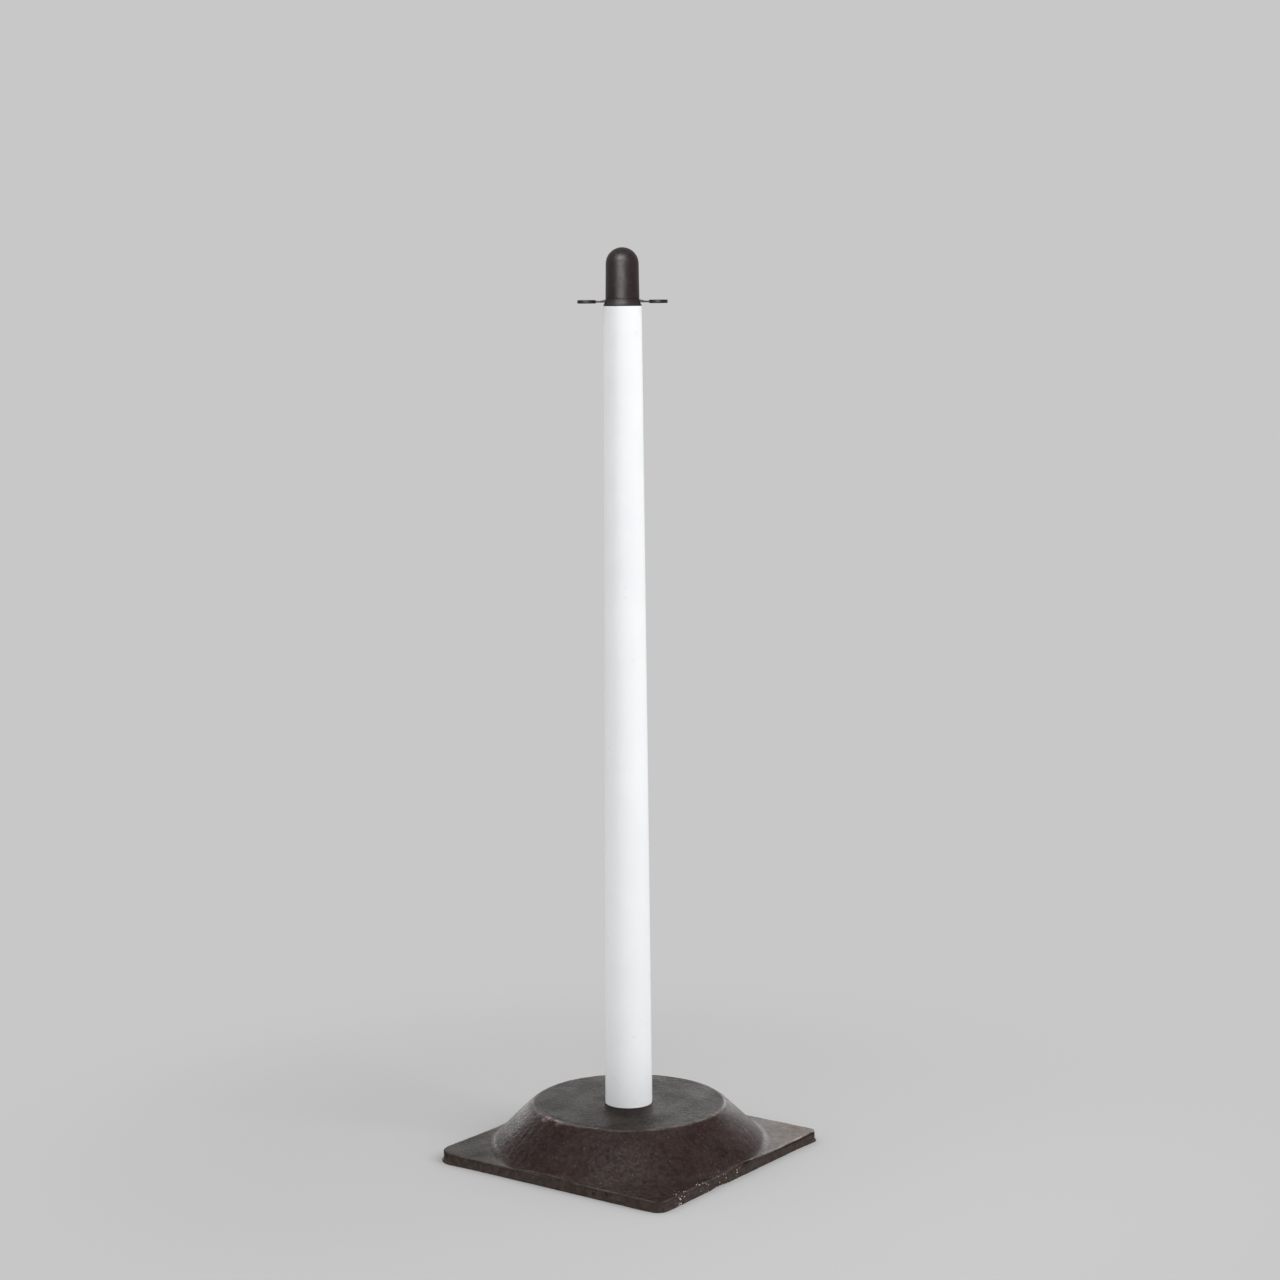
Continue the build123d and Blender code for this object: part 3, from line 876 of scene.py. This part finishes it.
def cap_outline():
    """From the top of the crown down the outside, round the fins, and back up inside."""
    inner_r = CAP_CROWN_R - CAP_WALL
    spigot_bore = SPIGOT_R - CAP_WALL
    outline = crown(CAP_CROWN_R, cap_high.z)
    side_middle = (cap_high.z - CAP_CROWN_R + CAP_SHOULDER) / 2
    outline.append(((CAP_CROWN_R + CAP_BASE_R) / 2, side_middle, 0))
    outline += [(CAP_BASE_R, CAP_SHOULDER, CAP_EDGE_ROUND), (SPIGOT_R, CAP_SHOULDER, 0)]
    for number in range(FIN_COUNT):
        top = FIN_TOP - number * FIN_PITCH
        outline += [(SPIGOT_R, top, 0), (FIN_R, top, FIN_ROUND),
                    (FIN_R, top - FIN_T, FIN_ROUND), (SPIGOT_R, top - FIN_T, 0)]
    outline += [(SPIGOT_R, cap_low.z, SPIGOT_END_ROUND),
                (spigot_bore, cap_low.z, SPIGOT_BORE_ROUND),
                (spigot_bore, CAP_SHOULDER + CAP_WALL, 0),
                (CAP_BASE_R - CAP_WALL, CAP_SHOULDER + 2 * CAP_WALL, 0)]
    outline += reversed(crown(inner_r, cap_high.z - CAP_WALL))
    return softened(outline)


cap = turned("black_bullet_cap", cap_outline(), CAP_TURNS)
select_only(cap)
bpy.ops.object.shade_smooth_by_angle(angle=CAP_CREASE)
cap.data.materials.append(black_plastic("satin_black_cap_plastic", 0.38))
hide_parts("head_cap")
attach(cap, "cap")

# Eyelet collar: black conical ring that turns on the cap's spigot, trapped between the
# cap and the tube's rim. Two flat chain eyelets stand out from it on thin webbed necks.
collar_low, collar_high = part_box("eyelet_collar")
COLLAR_TOP_R = 16.8 * MM
COLLAR_BORE_R = 14.1 * MM
COLLAR_RIM_H = 0.8 * MM
COLLAR_ROUND = 0.2 * MM
COLLAR_BORE_ROUND = 0.3 * MM
COLLAR_TURNS = 120
EYELET_REACH = 35.4 * MM
EYELET_OUTER_R = 9.2 * MM
EYELET_HOLE_R = 5.5 * MM
EYELET_T = 3.4 * MM
EYELET_LIFT = 2.5 * MM
EYELET_ROUND = 0.6 * MM
EYELET_TURNS = 72
NECK_W = 8 * MM
NECK_T = 1.7 * MM
NECK_OVERLAP = 1.6 * MM
GUSSET_REACH = 4 * MM
GUSSET_SUNK = 0.2 * MM
GUSSET_TAPER = 0.12
EYELET_TURN = radians(36.4)
COLLAR_VOXEL = 0.34 * MM
COLLAR_SMOOTHING = 2
COLLAR_FLARE_STEPS = 6
COLLAR_FLARE_POWER = 2.2
COLLAR_LAND = 0.12 * MM
EYELET_MIDDLE = collar_low.z + EYELET_LIFT + EYELET_T / 2


def block(name, low, high):
    """A block between two corners, left in edit mode for shaping."""
    bpy.ops.object.select_all(action="DESELECT")
    bpy.ops.mesh.primitive_cube_add(size=1)
    piece = bpy.context.object
    piece.name = name
    bpy.ops.object.mode_set(mode="EDIT")
    size = [top - bottom for bottom, top in zip(low, high)]
    middle = [(top + bottom) / 2 for bottom, top in zip(low, high)]
    bpy.ops.transform.resize(value=size, center_override=(0, 0, 0))
    bpy.ops.transform.translate(value=middle)
    return piece


def eyelet_arm(turn):
    """One eyelet with its neck and gusset, made on +X and then turned to its place."""
    low = collar_low.z + EYELET_LIFT
    high = low + EYELET_T
    section = softened((
        (EYELET_HOLE_R, low, EYELET_ROUND / 2), (EYELET_OUTER_R, low, EYELET_ROUND),
        (EYELET_OUTER_R, high, EYELET_ROUND), (EYELET_HOLE_R, high, EYELET_ROUND / 2),
    ))
    loop = turned("eyelet_loop", section, EYELET_TURNS, closed=True)
    select_only(loop)
    bpy.ops.object.mode_set(mode="EDIT")
    bpy.ops.mesh.select_all(action="SELECT")
    bpy.ops.transform.translate(value=(EYELET_REACH, 0, 0))
    bpy.ops.object.mode_set(mode="OBJECT")
    root = (COLLAR_BORE_R + COLLAR_TOP_R) / 2
    neck_end = EYELET_REACH - EYELET_OUTER_R + NECK_OVERLAP
    neck_top = EYELET_MIDDLE + NECK_T / 2
    neck = block("eyelet_neck", (root, -NECK_W / 2, EYELET_MIDDLE - NECK_T / 2),
                 (neck_end, NECK_W / 2, neck_top))
    bpy.ops.object.mode_set(mode="OBJECT")
    gusset_end = TUBE_TOP_R + GUSSET_REACH
    gusset_top = collar_high.z - GUSSET_SUNK
    gusset = block("eyelet_gusset", (root, -NECK_W / 2, EYELET_MIDDLE),
                   (gusset_end, NECK_W / 2, gusset_top))
    # The gusset's outer edge is drawn down to the neck and in from the sides
    bpy.ops.mesh.select_all(action="SELECT")
    bpy.ops.mesh.subdivide(number_cuts=3)
    bpy.ops.object.mode_set(mode="OBJECT")
    for vertex in gusset.data.vertices:
        share = (vertex.co.x - root) / (gusset_end - root)
        tall = (vertex.co.z - EYELET_MIDDLE) / (gusset_top - EYELET_MIDDLE)
        slope = min(max((gusset_end - vertex.co.x) / (gusset_end - COLLAR_TOP_R), 0), 1)
        top = neck_top - GUSSET_SUNK + (collar_high.z - neck_top) * slope
        vertex.co.z = EYELET_MIDDLE + (top - EYELET_MIDDLE) * tall
        vertex.co.y *= 1 - GUSSET_TAPER * share
    # With no window the rotate operator turns the other way, so it gets the angle reversed
    for piece in (loop, neck, gusset):
        select_only(piece)
        bpy.ops.object.mode_set(mode="EDIT")
        bpy.ops.mesh.select_all(action="SELECT")
        bpy.ops.transform.rotate(value=-turn, orient_axis="Z", center_override=(0, 0, 0))
        bpy.ops.object.mode_set(mode="OBJECT")
    return [loop, neck, gusset]


def flare():
    """The collar's outside, hollowed from its rim up to the cap's own width."""
    points = []
    low = collar_low.z + COLLAR_RIM_H
    for step in range(COLLAR_FLARE_STEPS + 1):
        share = step / COLLAR_FLARE_STEPS
        spread = (TUBE_TOP_R - COLLAR_TOP_R) * (1 - share) ** COLLAR_FLARE_POWER
        points.append((COLLAR_TOP_R + spread, low + (collar_high.z - low) * share, 0))
    return points


collar_section = softened([
    (COLLAR_BORE_R, collar_low.z, COLLAR_BORE_ROUND), (TUBE_TOP_R, collar_low.z, COLLAR_ROUND),
    *flare(), (COLLAR_TOP_R, collar_high.z + COLLAR_LAND, 0),
    (COLLAR_BORE_R, collar_high.z + COLLAR_LAND, COLLAR_ROUND),
])
collar = turned("eyelet_collar_ring", collar_section, COLLAR_TURNS, closed=True)
arms = eyelet_arm(EYELET_TURN) + eyelet_arm(EYELET_TURN + pi)
bpy.ops.object.select_all(action="DESELECT")
for piece in arms + [collar]:
    piece.select_set(True)
bpy.context.view_layer.objects.active = collar
bpy.ops.object.join()
remesh = collar.modifiers.new("one_moulding", "REMESH")
remesh.mode = "VOXEL"
remesh.voxel_size = COLLAR_VOXEL
soften = collar.modifiers.new("moulded_corners", "SMOOTH")
soften.iterations = COLLAR_SMOOTHING
for modifier in ("one_moulding", "moulded_corners"):
    bpy.ops.object.modifier_apply(modifier=modifier)
bpy.ops.object.shade_smooth()
collar.data.materials.append(black_plastic("satin_black_collar_plastic", 0.44))
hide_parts("eyelet_collar")
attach(collar, "collar")

# Studio: a seamless pale grey floor that fades into a backdrop of the same grey, soft
# light from all round, a broad lamp front right and a tall one in front. Five more lamps
# only show in reflections: two in front, pointed at the head, and three low behind.
BACKDROP_GREY = colour(200, 200, 200)
FLOOR_R = 12
FLOOR_FADE_FROM = 0.30
FLOOR_FADE_TO = 0.75
FLOOR_TONE = (0.515, 0.515, 0.515, 1)
SKY_LEVEL = 0.90
CAMERA_TURN = 36.41
FULL_FAN = 180
# How much brighter a narrow fan makes a lamp's middle, times tan squared of half the fan
FAN_GAIN = 3

bpy.ops.object.select_all(action="DESELECT")
bpy.ops.mesh.primitive_circle_add(vertices=128, radius=FLOOR_R, fill_type="NGON")
floor = bpy.context.object
floor.name = "studio_floor"


def seen_directly(tree):
    """1 for rays that show the background: seen, mirrored or seen through something."""
    ray = add_node(tree, "LightPath").outputs
    seen = maths(tree, "MAXIMUM", ray["Is Camera Ray"], ray["Is Glossy Ray"])
    return maths(tree, "MAXIMUM", seen, ray["Is Transmission Ray"])


def floor_paint():
    """Matt grey near the object, where shadows fall, and even backdrop grey further out."""
    material = bpy.data.materials.new("studio_floor_grey")
    material.use_nodes = True
    tree = material.node_tree
    tree.nodes.remove(tree.nodes["Principled BSDF"])
    place = add_node(tree, "TexCoord").outputs["Object"]
    far = between(tree, measured(tree, "LENGTH", place), FLOOR_FADE_FROM, FLOOR_FADE_TO)
    matt = add_node(tree, "BsdfDiffuse", {"Color": FLOOR_TONE}).outputs[0]
    plain = add_node(tree, "Emission", {"Color": BACKDROP_GREY, "Strength": 1.0}).outputs[0]
    share = maths(tree, "MULTIPLY", far, seen_directly(tree))
    mixed = add_node(tree, "MixShader", {0: share, 1: matt, 2: plain}).outputs[0]
    tree.links.new(mixed, tree.nodes["Material Output"].inputs["Surface"])
    return material


floor.data.materials.append(floor_paint())

world = bpy.data.worlds.new("soft_studio")
world.use_nodes = True
bpy.context.scene.world = world
sky = world.node_tree
light = add_node(sky, "Background", {"Color": (1, 1, 1, 1), "Strength": SKY_LEVEL}).outputs[0]
backdrop = add_node(sky, "Background", {"Color": BACKDROP_GREY, "Strength": 1.0}).outputs[0]
both = add_node(sky, "MixShader", {0: seen_directly(sky), 1: light, 2: backdrop}).outputs[0]
sky.links.new(both, sky.nodes["World Output"].inputs["Surface"])


def softbox(name, turn, elevation, distance, size, level, aim, diffuse=True, glossy=True,
            fan=FULL_FAN):
    """A soft lamp, seen from the post at a turn to the right of the camera.

    It points at a height on the post's axis. The level is how bright a white surface that
    squarely faces the lamp gets. The fan is the angle that its light spreads over.
    """
    lamp_data = bpy.data.lights.new(name, "AREA")
    lamp_data.shape = "RECTANGLE"
    lamp_data.size, lamp_data.size_y = size
    lamp_data.energy = level * (pi * distance) ** 2
    lamp_data.spread = radians(fan)
    if fan < FULL_FAN:
        # A narrow fan gathers the lamp's power in its middle, so it gets less of it
        lamp_data.energy *= tan(radians(fan / 2)) ** 2 / FAN_GAIN
    lamp = bpy.data.objects.new(name, lamp_data)
    bpy.context.scene.collection.objects.link(lamp)
    bearing = radians(CAMERA_TURN - 90 + turn)
    rise = radians(elevation)
    away = Vector((cos(rise) * cos(bearing), cos(rise) * sin(bearing), sin(rise)))
    lamp.location = Vector((0, 0, aim)) + away * distance
    lamp.rotation_euler = (-away).to_track_quat("-Z", "Y").to_euler()
    lamp.visible_camera = False
    lamp.visible_diffuse = diffuse
    lamp.visible_glossy = glossy


softbox("key_front_right", turn=56, elevation=30, distance=2.4, size=(1.1, 1.5),
        level=0.345, aim=0.30, glossy=False)
softbox("tall_front", turn=-2, elevation=20, distance=2.2, size=(0.5, 1.5),
        level=0.085, aim=0.45, glossy=False)
softbox("high_front_gloss", turn=-12, elevation=43.6, distance=2.2, size=(1.6, 0.4),
        level=2.50, aim=0.90, diffuse=False)
softbox("strip_front_gloss", turn=-9, elevation=3, distance=2.2, size=(1.7, 0.5),
        level=1.22, aim=0.88, diffuse=False)
softbox("low_back_gloss", turn=180, elevation=20, distance=2.0, size=(0.5, 0.4),
        level=0.90, aim=0.05, diffuse=False, fan=25)
softbox("back_left_gloss", turn=-157, elevation=10, distance=1.1, size=(0.35, 0.25),
        level=0.54, aim=0.03, diffuse=False, fan=30)
softbox("back_right_gloss", turn=160.5, elevation=12, distance=1.1, size=(0.35, 0.25),
        level=1.0, aim=0.03, diffuse=False, fan=30)

# Camera: a short telephoto at the height of the head, that looks across the plate's front
# corner and down a little.
CAMERA_DISTANCE = 2.58855
CAMERA_HEIGHT = 0.84258
CAMERA_YAW = radians(0.329)
CAMERA_PITCH = radians(6.939)
CAMERA_ROLL = radians(0.416)
CAMERA_LENS = 73.2
CAMERA_CLIP = 0.05

ahead = Vector((
    sin(CAMERA_YAW) * cos(CAMERA_PITCH),
    cos(CAMERA_YAW) * cos(CAMERA_PITCH),
    -sin(CAMERA_PITCH),
))
level_right = Vector((cos(CAMERA_YAW), -sin(CAMERA_YAW), 0))
level_up = level_right.cross(ahead)
right = level_right * cos(CAMERA_ROLL) - level_up * sin(CAMERA_ROLL)
up = level_right * sin(CAMERA_ROLL) + level_up * cos(CAMERA_ROLL)
facing = Matrix((right, up, -ahead)).transposed().to_4x4()
camera_data = bpy.data.cameras.new("photo_camera")
camera_data.lens = CAMERA_LENS
camera_data.clip_start = CAMERA_CLIP
camera = bpy.data.objects.new("photo_camera", camera_data)
bpy.context.scene.collection.objects.link(camera)
camera_place = Matrix.Translation((0, -CAMERA_DISTANCE, CAMERA_HEIGHT))
camera.matrix_world = Matrix.Rotation(radians(CAMERA_TURN), 4, "Z") @ camera_place @ facing
bpy.context.scene.camera = camera
bpy.context.scene.view_settings.view_transform = "Standard"

bpy.context.view_layer.update()
